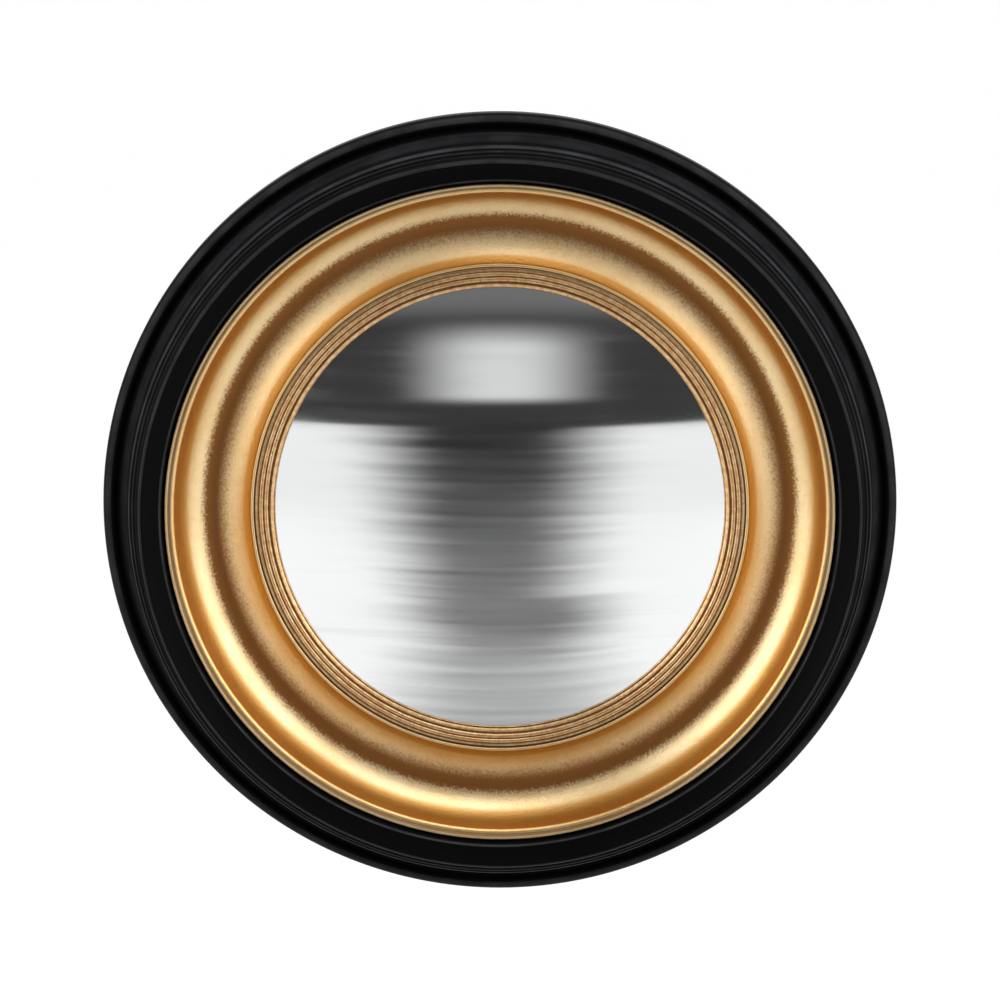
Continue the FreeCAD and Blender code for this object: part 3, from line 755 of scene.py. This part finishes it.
@dataclass
class TurnedRings:
    """The three turned rings and the glass, drawn as a turner's sections in millimetres."""

    finishes: Finishes
    back: float = 4.0
    crest: float = 40.0
    ledge: float = 9.5
    opening_r: float = 159.4
    ledge_r: float = 149.4
    rim_bead_r: float = 186.0
    rim_bead_ball: float = 4.0
    rim_bead: float = 10.2
    scoop_floor: float = 8.0
    scoop_floor_r: float = 135.4
    sight_r: float = 108.1
    sight_edge: float = 15.4
    glass_r: float = 113.0
    glass_ball: float = 450.0
    glass_t: float = 3.0
    ball_centre: float = -422.9231
    gilt_r: float = 159.2
    spigot_r: float = 149.2
    board_seat_r: float = 124.3
    board_seat: float = 7.0
    lip_r: float = 117.5
    lip_foot: float = 12.4
    scoop_inner_r: float = 119.4
    scoop_inner: float = 15.4
    slip_r: float = 119.2
    slip_foot: float = 8.8
    slip_neck_r: float = 117.3
    slip_top: float = 16.2
    reed_foot: float = 15.775
    rebate_r: float = 113.3
    felt_t: float = 0.5
    screw_count: int = 8
    screw_first_angle: float = 22.5
    screw_r: float = 154.4
    sink_wide_r: float = 4.2
    sink_tip_r: float = 1.85
    sink_depth: float = 3.2
    sink_middle: float = 4.6
    sink_floor: float = 6.8
    sink_reach_r: float = 160.0

    def build(self) -> list[bpy.types.Object]:
        """Turns, dresses and seats each ring and the glass.

        Returns:
            The four pieces.
        """
        f = self.finishes
        made = [self.ebonised_ring(), self.gilded_ring(), self.gilded_slip(), self.convex_glass()]
        seats = (("outer_frame", "ebonised_wood", f.ebonised),
                 ("gilt_scoop", "gilded_wood", f.gilding),
                 ("reeded_slip", "gilded_wood", f.gilding),
                 ("mirror_glass", "silvered_glass", f.silvered))
        for piece, (node, slot, finish) in zip(made, seats):
            self.dress(piece, finish)
            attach(piece, Body.MIRROR.value)
            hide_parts(node)
        for ring in made[:2]:
            self.leave_bare(ring)
        return made

    def dress(self, piece: bpy.types.Object, finish: bpy.types.Material) -> None:
        """Gives a piece its finish all over."""
        piece.data.materials.append(finish)

    def leave_bare(self, ring: bpy.types.Object) -> None:
        """Gives the flat back of a ring, and its countersinks, bare wood.

        Args:
            ring: The ring, whose own finish is already on it.
        """
        facing_back, leaning_back = 0.9, 0.5
        ring.data.materials.append(self.finishes.bare_wood)
        for face in ring.data.polygons:
            radius = math.hypot(face.center.x, face.center.z)
            flat = face.normal.y > facing_back
            sunk = face.normal.y > leaning_back and radius < self.sink_reach_r * MM
            if (flat or sunk) and -face.center.y < self.sink_floor * MM:
                face.material_index = 1

    def ebonised_ring(self) -> bpy.types.Object:
        """Turns the outer ring: rim bead, scotia, riser, two small reeds, crest reed and flat.

        Returns:
            The ring, with its countersinks.
        """
        turn = math.radians(115.0)
        bead_end_r = self.rim_bead_r + self.rim_bead_ball * math.cos(turn)
        bead_end = self.rim_bead + self.rim_bead_ball * math.sin(turn)
        section = Outline().line(self.ledge_r, self.back).line(189.2, self.back)
        section.line(190.0, self.back + 0.8).line(190.0, self.rim_bead)
        section.arc(bead_end_r, bead_end, self.rim_bead_ball * (1 - math.cos(turn / 2)), 14)
        section.arc(179.9, bead_end + 1.9, -1.9, 10)
        section.arc(176.2, 29.7, -0.37, 12)
        section.arc(174.45, 31.6, 0.735, 7).arc(172.7, 33.5, 0.735, 7)
        section.arc(171.1, 37.6, -0.72, 7)
        section.arc(169.2, self.crest, 0.722, 8)
        section.line(161.6, 35.4).arc(160.7, 34.4, 0.27, 5)
        section.line(self.opening_r, 30.5).line(self.opening_r, self.ledge)
        section.line(self.ledge_r, self.ledge)
        ring = turned("ebonised_ring", section, 0.12)
        self.countersink(ring)
        return ring

    def countersink(self, ring: bpy.types.Object) -> None:
        """Sinks eight cones into the back of the ebonised ring for its screw heads.

        Args:
            ring: The ring, which is changed.
        """
        drills = []
        for index in range(self.screw_count):
            turn = math.radians(self.screw_first_angle + 360.0 / self.screw_count * index)
            across, up = self.screw_r * math.cos(turn), self.screw_r * math.sin(turn)
            place = Vector((across, -self.sink_middle, up)) * MM
            select_only(None)
            bpy.ops.mesh.primitive_cone_add(
                vertices=40, radius1=self.sink_wide_r * MM, radius2=self.sink_tip_r * MM,
                depth=self.sink_depth * MM, location=place, rotation=(math.radians(90.0), 0.0, 0.0))
            drills.append(bpy.context.object)
        select_only(drills[0])
        for drill in drills:
            drill.select_set(True)
        bpy.ops.object.join()
        bpy.ops.object.transform_apply(location=True, rotation=True, scale=True)
        select_only(ring)
        cut = ring.modifiers.new("countersinks", "BOOLEAN")
        cut.operation = "DIFFERENCE"
        cut.solver = "EXACT"
        cut.object = drills[0]
        bpy.ops.object.modifier_apply(modifier=cut.name)
        select_only(drills[0])
        bpy.ops.object.delete()
        settle(ring, SMOOTH_ANGLE)

    def gilded_ring(self) -> bpy.types.Object:
        """Turns the gilded ring: fillet and bead outside, a deep scoop and a rounded inner lip.

        Returns:
            The ring.
        """
        section = Outline().line(self.board_seat_r, self.back).line(self.spigot_r, self.back)
        section.line(self.spigot_r, self.ledge).line(self.gilt_r, self.ledge)
        section.line(self.gilt_r, 31.75).arc(157.6, 31.75, 0.32, 6).line(157.1, 29.9)
        section.arc(154.5, 27.7, 0.9, 8)
        section.arc(self.scoop_floor_r, self.scoop_floor, -5.807, 34)
        section.arc(self.scoop_inner_r, self.scoop_inner, -1.5, 22)
        section.arc(self.lip_r, self.scoop_inner, 1.0, 10)
        section.line(self.lip_r, self.lip_foot).line(self.scoop_inner_r, self.lip_foot)
        section.line(self.scoop_inner_r, self.board_seat).line(self.board_seat_r, self.board_seat)
        return turned("gilded_ring", section, 0.12)

    def gilded_slip(self) -> bpy.types.Object:
        """Turns the slip: a plain band, two reeds and a fillet, on a hidden flange.

        Returns:
            The slip.
        """
        seat = self.glass_ball + self.felt_t
        section = Outline().line(self.rebate_r, self.slip_foot).line(self.slip_r, self.slip_foot)
        section.line(self.slip_r, self.lip_foot).line(self.slip_neck_r, self.lip_foot)
        section.line(self.slip_neck_r, 14.8).line(116.5, 14.8).line(116.5, self.slip_top)
        section.line(115.4, self.slip_top).line(115.4, self.reed_foot)
        section.arc(113.0, self.reed_foot, 0.85, 8).arc(110.6, self.reed_foot, 0.85, 8)
        section.line(110.3, 15.3).line(109.9, 15.3).line(109.6, self.slip_top)
        section.line(self.sight_r, self.sight_edge)
        section.line(self.sight_r, self.on_ball(self.sight_r, seat))
        section.line(self.rebate_r, self.on_ball(self.rebate_r, seat))
        return turned("gilded_slip", section, 0.08, smooth_angle=40.0)

    def convex_glass(self) -> bpy.types.Object:
        """Turns the glass: a cap of even thickness between two spheres of one centre.

        Returns:
            The glass.
        """
        steps = 30
        inner = self.glass_ball - self.glass_t
        section = Outline()
        for step in range(steps + 1):
            radius = self.glass_r * step / steps
            section.line(radius, self.on_ball(radius, inner))
        for step in range(steps, -1, -1):
            radius = self.glass_r * step / steps
            section.line(radius, self.on_ball(radius, self.glass_ball))
        return turned("convex_glass", section, closed=False)

    def on_ball(self, radius: float, ball: float) -> float:
        """Gives the height of a sphere about the glass's centre of curvature, at a radius."""
        return self.ball_centre + math.sqrt(ball * ball - radius * radius)


# ---------------------------------------------------------------- back of the mirror


@dataclass(frozen=True)
class Fitting:
    """A piece of the back: its CAD node, new name, rounded edge, slot, finish and body."""

    node: str
    name: str
    edge_mm: float
    slot: str
    finish: bpy.types.Material
    body: str = Body.MIRROR.value


@dataclass
class BackHardware:
    """Board, buttons, screws, hanger and bumpers, refined from the CAD pieces."""

    finishes: Finishes
    corners: int = 4

    def build(self) -> list[bpy.types.Object]:
        """Makes, dresses and seats each piece of the back.

        Returns:
            The pieces.
        """
        made = []
        for fitting in self.fittings():
            piece = refined_copy(fitting.node, fitting.name, fitting.edge_mm)
            piece.data.materials.append(fitting.finish)
            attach(piece, fitting.body)
            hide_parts(fitting.node)
            made.append(piece)
        self.dress()
        return made

    def fittings(self) -> list[Fitting]:
        """Lists the fittings in the order in which they are made.

        Returns:
            The fittings.
        """
        f = self.finishes
        listed = [
            Fitting("backboard", "hardboard_disc", 0.3, "hardboard", f.board),
            Fitting("frame_screws", "ring_screws", 0.0, "zinc_steel", f.zinc),
            Fitting("button_screws", "brass_pan_screws", 0.08, "brass_screws", f.brass),
            Fitting("hanger_screws", "strap_pan_screws", 0.08, "zinc_steel", f.zinc),
            Fitting("hanger_strap", "eye_strap", 0.12, "plated_steel", f.zinc),
            Fitting("hanger_ring", "wire_ring", 0.0, "plated_steel", f.zinc,
                    Body.HANGER_RING.value),
        ]
        for index in range(1, self.corners + 1):
            button, bumper = f"turn_button_{index}", f"wall_bumper_{index}"
            listed.append(Fitting(button, f"brass_button_{index}", 0.2, "brass_plate", f.brass,
                                  button))
            listed.append(Fitting(bumper, f"rubber_disc_{index}", 0.0, "rubber", f.rubber))
        return listed

    def dress(self) -> None:
        """Gives the two rings that stay as CAD made them their felt and wood."""
        f = self.finishes
        for node, finish in (("glass_gasket", f.felt), ("packing_ring", f.bare_wood)):
            for slot in FRAME["nodes"][node].material_slots:
                slot.material = finish


# ---------------------------------------------------------------- studio


@dataclass
class Studio:
    """A pale floor, soft lamps, and dark and bright cards that only gloss and glass see."""

    distance: float = 1.917
    elevation: float = 12.2
    target: tuple[float, float, float] = (0.00003, -0.0154, 0.0)
    lens: float = 144.4
    sensor: float = 36.0
    aim_rise: float = 0.00488
    floor_z: float = -0.6
    floor_size: float = 60.0
    floor_grey: float = 0.30
    floor_glow: float = 0.85
    world_light: float = 0.4
    room_width: float = 7.0
    room_depth: float = 4.2
    wall_height: float = 3.45
    wall_ahead_z: float = 1.735
    pale_wall: float = 0.92

    def build(self) -> None:
        """Makes the camera, the surroundings and the lamps."""
        self.camera()
        self.world()
        self.floor()
        self.dark_room()
        self.flag()
        self.lamp("left_softbox", (-2.18, -1.16, 0.76), (2.1, 1.8), 1.45)
        self.lamp("right_softbox", (2.16, -1.20, 0.84), (2.1, 1.9), 1.45)
        self.lamp("top_softbox", (0.34, -0.70, 1.60), (1.6, 0.85), 1.35)

    def camera(self) -> None:
        """Places the camera where the photograph was taken from."""
        tilt = math.radians(self.elevation)
        back = Vector((0.0, -math.cos(tilt), math.sin(tilt)))
        up = Vector((0.0, math.sin(tilt), math.cos(tilt)))
        aim = Vector(self.target) + up * self.aim_rise
        data = bpy.data.cameras.new("camera")
        data.lens = self.lens
        data.sensor_width = self.sensor
        data.clip_end = 100.0
        camera = bpy.data.objects.new("camera", data)
        bpy.context.collection.objects.link(camera)
        camera.location = aim + back * self.distance
        camera.rotation_euler = (math.radians(90.0 - self.elevation), 0.0, 0.0)
        bpy.context.scene.camera = camera

    def world(self) -> None:
        """White to the camera and to gloss, softer as light."""
        world = bpy.data.worlds.new("studio")
        world.use_nodes = True
        tree = world.node_tree
        path = tree.nodes.new("ShaderNodeLightPath")
        seen = self.seen(tree, path)
        strength = tree.nodes.new("ShaderNodeMapRange")
        strength.inputs["To Min"].default_value = self.world_light
        strength.inputs["To Max"].default_value = 1.0
        tree.links.new(seen, strength.inputs["Value"])
        background = tree.nodes["Background"]
        background.inputs["Color"].default_value = (1.0, 1.0, 1.0, 1.0)
        tree.links.new(strength.outputs[0], background.inputs["Strength"])
        bpy.context.scene.world = world
        bpy.context.scene.view_settings.view_transform = "Standard"

    @staticmethod
    def seen(tree: bpy.types.NodeTree, path: bpy.types.Node) -> bpy.types.NodeSocket:
        """A socket that is 1 for camera, glossy and transmission rays.

        Args:
            tree: The node tree to add to.
            path: Its Light Path node.

        Returns:
            The socket.
        """
        total = path.outputs["Is Camera Ray"]
        for name in ("Is Glossy Ray", "Is Transmission Ray"):
            either = tree.nodes.new("ShaderNodeMath")
            either.operation = "MAXIMUM"
            tree.links.new(total, either.inputs[0])
            tree.links.new(path.outputs[name], either.inputs[1])
            total = either.outputs[0]
        return total

    def floor(self) -> None:
        """A pale floor that takes the shadow."""
        select_only(None)
        bpy.ops.mesh.primitive_plane_add(size=self.floor_size, location=(0, 0, self.floor_z))
        floor = bpy.context.object
        floor.name = "floor"
        material = bpy.data.materials.new("pale_floor")
        material.use_nodes = True
        tree = material.node_tree
        shader = tree.nodes["Principled BSDF"]
        shader.inputs["Base Color"].default_value = (*[self.floor_grey] * 3, 1.0)
        shader.inputs["Roughness"].default_value = 0.9
        shader.inputs["Specular IOR Level"].default_value = 0.1
        shader.inputs["Emission Color"].default_value = (1.0, 1.0, 1.0, 1.0)
        glow = tree.nodes.new("ShaderNodeMath")
        glow.operation = "MULTIPLY"
        glow.inputs[1].default_value = self.floor_glow
        tree.links.new(self.seen(tree, tree.nodes.new("ShaderNodeLightPath")), glow.inputs[0])
        tree.links.new(glow.outputs[0], shader.inputs["Emission Strength"])
        floor.data.materials.append(material)

    def card(self, name: str, size: tuple[float, float], place: tuple[float, float, float],
             turn: tuple[float, float, float],
             paint: Callable[[Recipe], tuple[Any, Any]]) -> None:
        """Stands up a card that only reflections see.

        Args:
            name: Its name.
            size: Width and height in metres.
            place: Where its middle is.
            turn: Its rotation in degrees.
            paint: Returns the card's brightness and its cover, from its own coordinates.
        """
        select_only(None)
        bpy.ops.mesh.primitive_plane_add(size=1.0, location=place,
                                         rotation=tuple(math.radians(angle) for angle in turn))
        card = bpy.context.object
        card.name = name
        card.scale = (size[0], size[1], 1.0)
        recipe = Recipe(name)
        brightness, cover = paint(recipe)
        tree = recipe.tree
        tree.nodes.remove(recipe.shader)
        glow = recipe.add("ShaderNodeEmission", {"Strength": brightness})
        clear = recipe.add("ShaderNodeBsdfTransparent")
        mix = recipe.add("ShaderNodeMixShader", {0: cover})
        tree.links.new(clear.outputs[0], mix.inputs[1])
        tree.links.new(glow.outputs[0], mix.inputs[2])
        tree.links.new(mix.outputs[0], tree.nodes["Material Output"].inputs["Surface"])
        card.data.materials.append(recipe.material)
        card.visible_camera = False
        card.visible_diffuse = False
        card.visible_shadow = False
        card.visible_transmission = False

    def dark_room(self) -> None:
        """The room over the pale floor: dim ahead of the glass, pale at its sides and overhead."""
        width, depth, height = self.room_width, self.room_depth, self.wall_height
        self.card("wall_ahead", (width, height), (0.0, -3.4, self.wall_ahead_z),
                  (90.0, 0.0, 0.0), self.paint_ahead)
        for name, side in (("wall_left", -3.5), ("wall_right", 3.5)):
            self.card(name, (depth, height), (side, -1.5, 1.695), (90.0, 0.0, 90.0),
                      self.paint_pale)
        self.card("ceiling", (width, depth), (0.0, -1.5, 3.4), (0.0, 0.0, 0.0),
                  self.paint_overhead)

    def paint_pale(self, recipe: Recipe) -> tuple[Any, Any]:
        """An even pale wall, as its brightness and cover."""
        return self.pale_wall, 1.0

    def paint_overhead(self, recipe: Recipe) -> tuple[Any, Any]:
        """A pale ceiling with a dark patch.

        Args:
            recipe: The card's material.

        Returns:
            Its brightness and its cover.
        """
        parts = self.split(recipe)
        across = recipe.calc("ADD", recipe.calc("MULTIPLY", parts[0], self.room_width), 1.5)
        along = recipe.calc("ADD", recipe.calc("MULTIPLY", parts[1], self.room_depth), 0.7)
        squares = recipe.calc("ADD", recipe.calc("MULTIPLY", across, across),
                              recipe.calc("MULTIPLY", along, along))
        away = recipe.calc("SQRT", squares)
        return recipe.clamp_range(away, 0.5, 1.4, 0.08, 0.95), 1.0

    def paint_ahead(self, recipe: Recipe) -> tuple[Any, Any]:
        """A dim wall with a pale panel in its middle and pale edges.

        Args:
            recipe: The card's material.

        Returns:
            Its brightness and its cover.
        """
        parts = self.split(recipe)
        sideways = recipe.calc("MULTIPLY", parts[0], self.room_width)
        across = recipe.calc("ABSOLUTE", recipe.calc("SUBTRACT", sideways, 0.02))
        up = recipe.calc("ADD", recipe.calc("MULTIPLY", parts[1], self.wall_height),
                         self.wall_ahead_z)
        tall = recipe.calc("MULTIPLY", recipe.clamp_range(up, 0.20, 0.29),
                           recipe.clamp_range(up, 0.66, 0.98, 1.0, 0.0))
        panel = recipe.calc("MULTIPLY", recipe.clamp_range(across, 0.10, 0.98, 1.0, 0.0), tall)
        above = recipe.clamp_range(up, 0.86, 1.15, 0.0, 0.13)
        high = recipe.clamp_range(up, 2.2, 3.1, 0.0, 0.85)
        sides = recipe.clamp_range(across, 2.25, 2.9, 0.0, 0.88)
        base = recipe.calc("ADD", recipe.calc("MULTIPLY", panel, 0.75), above)
        base = recipe.calc("MAXIMUM", base, recipe.calc("MAXIMUM", high, sides))
        return recipe.calc("ADD", base, 0.04), 1.0

    def flag(self) -> None:
        """A soft-edged dark flag under the camera, and a grey card on the floor before it that is a
        painted shadow.
        """
        self.card("dark_flag", (1.8, 0.65), (-0.03, -1.25, -0.275), (90.0, 0.0, 0.0),
                  self.paint_flag)
        # Painted shadow: a grey card on the floor before the mirror, which reflections show as the
        # floor's dark zone near the mirror.
        self.card("floor_shadow_card", (1.2, 1.0), (0.02, -0.75, -0.59), (0.0, 0.0, 0.0),
                  self.paint_floor_shadow)

    def paint_flag(self, recipe: Recipe) -> tuple[Any, Any]:
        """A dark cloth that narrows downwards, with ragged level edges.

        Args:
            recipe: The card's material.

        Returns:
            Its brightness and its cover.
        """
        parts = self.split(recipe)
        jag = self.level_jag(recipe, parts, 45.0)
        across = recipe.calc("MULTIPLY", recipe.calc("ABSOLUTE", parts[0]), 1.8)
        edge = recipe.calc("SUBTRACT", across, recipe.calc("MULTIPLY", parts[1], 0.10))
        edge = recipe.calc("ADD", edge, recipe.calc("MULTIPLY", jag, 0.30))
        cover = recipe.clamp_range(edge, 0.13, 0.52, 1.0, 0.0)
        tone = recipe.clamp_range(parts[1], -0.5, 0.5, 0.20, 0.03)
        return self.varied(recipe, tone, jag, 2.4), cover

    def paint_floor_shadow(self, recipe: Recipe) -> tuple[Any, Any]:
        """A grey sheet of painted floor shadow that runs out softly, with ragged level edges.

        Args:
            recipe: The card's material.

        Returns:
            Its brightness and its cover.
        """
        parts = self.split(recipe)
        jag = self.level_jag(recipe, parts, 40.0)
        along = recipe.calc("SUBTRACT", parts[1], 0.5)
        across = recipe.calc("ABSOLUTE", recipe.calc("MULTIPLY", parts[0], 1.2))
        widened = recipe.clamp_range(along, -0.60, -0.90, 0.0, 0.10)
        across = recipe.calc("SUBTRACT", across, widened)
        across = recipe.calc("ADD", across, recipe.calc("MULTIPLY", jag, 0.25))
        cover = recipe.clamp_range(across, 0.06, 0.38, 1.0, 0.0)
        cover = recipe.calc("MULTIPLY", cover, recipe.clamp_range(along, -0.02, -0.16))
        tone = recipe.clamp_range(along, -0.80, -0.45, 0.22, 0.48)
        return self.varied(recipe, tone, jag, 1.6), cover

    @staticmethod
    def split(recipe: Recipe) -> Any:
        """The three parts of a card's own place, as sockets."""
        return recipe.add("ShaderNodeSeparateXYZ", {0: recipe.place}).outputs

    @staticmethod
    def level_jag(recipe: Recipe, parts: Any, size_mm: float) -> bpy.types.NodeSocket:
        """Noise about zero, drawn out sideways.

        Args:
            recipe: The card's material.
            parts: The parts of its place.
            size_mm: Rough height of the streaks in millimetres.

        Returns:
            The noise's socket.
        """
        level = recipe.add("ShaderNodeCombineXYZ", {
            0: recipe.calc("MULTIPLY", parts[0], 0.05), 1: parts[1]}).outputs[0]
        return recipe.calc("SUBTRACT", recipe.noise(size_mm, 5.0, level, roughness=0.6), 0.5)

    @staticmethod
    def varied(recipe: Recipe, tone: Any, jag: Any, share: float) -> bpy.types.NodeSocket:
        """Varies a tone by the streaks.

        Args:
            recipe: The card's material.
            tone: The tone's socket.
            jag: The streaks' socket.
            share: How far the streaks change the tone.

        Returns:
            The varied tone's socket.
        """
        change = recipe.calc("ADD", 1.0, recipe.calc("MULTIPLY", jag, share))
        return recipe.calc("MULTIPLY", tone, change)

    def lamp(self, name: str, place: tuple[float, float, float], size: tuple[float, float],
             radiance: float) -> None:
        """Hangs a softbox that faces the mirror.

        Args:
            name: Its name.
            place: Where it hangs.
            size: Width and height in metres.
            radiance: How bright its face is, where 1 is white.
        """
        data = bpy.data.lights.new(name, "AREA")
        data.shape = "RECTANGLE"
        data.size, data.size_y = size
        data.energy = 4.0 * size[0] * size[1] * radiance
        light = bpy.data.objects.new(name, data)
        bpy.context.collection.objects.link(light)
        light.location = place
        light.rotation_euler = (-Vector(place)).to_track_quat("-Z", "Y").to_euler()


# ---------------------------------------------------------------- the whole mirror

FRAME: dict[str, Any] = {}


def corners(box: Sequence[Vector]) -> list[list[float]]:
    """Turns a box's two corners into plain lists of numbers."""
    return [list(corner) for corner in box]


def main() -> None:
    """Loads the frame, builds each part of the mirror in order and logs its face count."""
    logging.basicConfig(level=logging.INFO, format="%(name)s: %(message)s")
    FRAME.update(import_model())
    Studio().build()
    finishes = Finishes()
    for part in (TurnedRings(finishes), BackHardware(finishes)):
        for piece in part.build():
            LOG.info("%s: %d faces", piece.name, len(piece.data.polygons))


if __name__ == "__main__":
    main()
